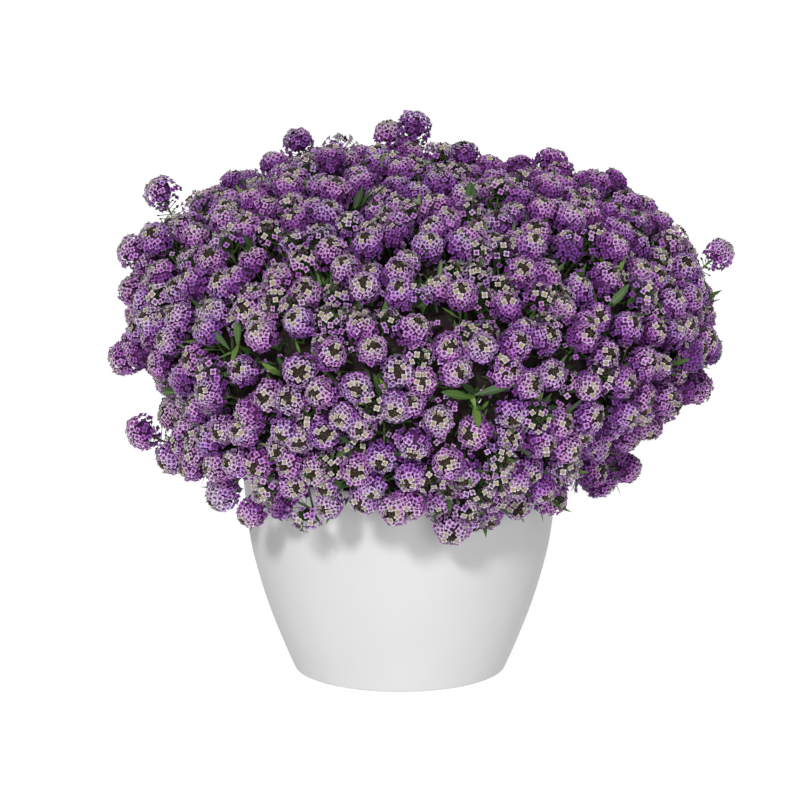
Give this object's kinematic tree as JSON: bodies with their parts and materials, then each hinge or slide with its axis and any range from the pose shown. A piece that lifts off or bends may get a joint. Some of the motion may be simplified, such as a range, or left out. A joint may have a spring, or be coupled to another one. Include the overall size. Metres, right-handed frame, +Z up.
{
  "type": "potted sweet alyssum",
  "caption": "Sweet alyssum in a plain round white pot: a dome of lavender and cream flower heads that hangs over the rim, with narrow green leaves.",
  "frame": {"origin": "on the floor, at the middle of the underside of the pot", "axes": "+Z up; the front of the plant, as pictured, faces -Y; +X is to the right of that view"},
  "size_m": [0.5022, 0.4784, 0.4408],
  "materials": {
    "pot": "plain moulded white plastic, satin",
    "soil": "dark crumbly peat and bark mix",
    "flowers": "soft matte petals, cream to lavender to purple",
    "foliage": "matte grey-green leaves and stems"
  },
  "bodies": {
    "root": {"pot": "pot", "soil": "soil", "flowers_01": "flowers", "flowers_02": "flowers", "flowers_03": "flowers", "flowers_04": "flowers", "flowers_05": "flowers", "flowers_06": "flowers", "flowers_07": "flowers", "flowers_08": "flowers", "flowers_09": "flowers", "flowers_10": "flowers", "flowers_11": "flowers", "flowers_12": "flowers", "flowers_13": "flowers", "flowers_14": "flowers", "flowers_15": "flowers", "flowers_16": "flowers", "flowers_17": "flowers", "flowers_18": "flowers", "flowers_19": "flowers", "flowers_20": "flowers", "flowers_21": "flowers", "flowers_22": "flowers", "flowers_23": "flowers", "flowers_24": "flowers", "flowers_25": "flowers", "flowers_26": "flowers", "flowers_27": "flowers", "flowers_28": "flowers", "shoot_01": "foliage", "shoot_02": "foliage", "shoot_03": "foliage", "shoot_04": "foliage", "shoot_05": "foliage", "shoot_06": "foliage", "shoot_07": "foliage", "shoot_08": "foliage", "shoot_09": "foliage", "shoot_10": "foliage", "shoot_11": "foliage", "shoot_12": "foliage", "shoot_13": "foliage", "shoot_14": "foliage", "shoot_15": "foliage", "shoot_16": "foliage", "shoot_17": "foliage", "shoot_18": "foliage", "shoot_19": "foliage", "shoot_20": "foliage", "shoot_21": "foliage", "shoot_22": "foliage", "shoot_23": "foliage", "shoot_24": "foliage", "shoot_25": "foliage", "shoot_26": "foliage", "shoot_27": "foliage", "shoot_28": "foliage"}
  },
  "joints": []
}
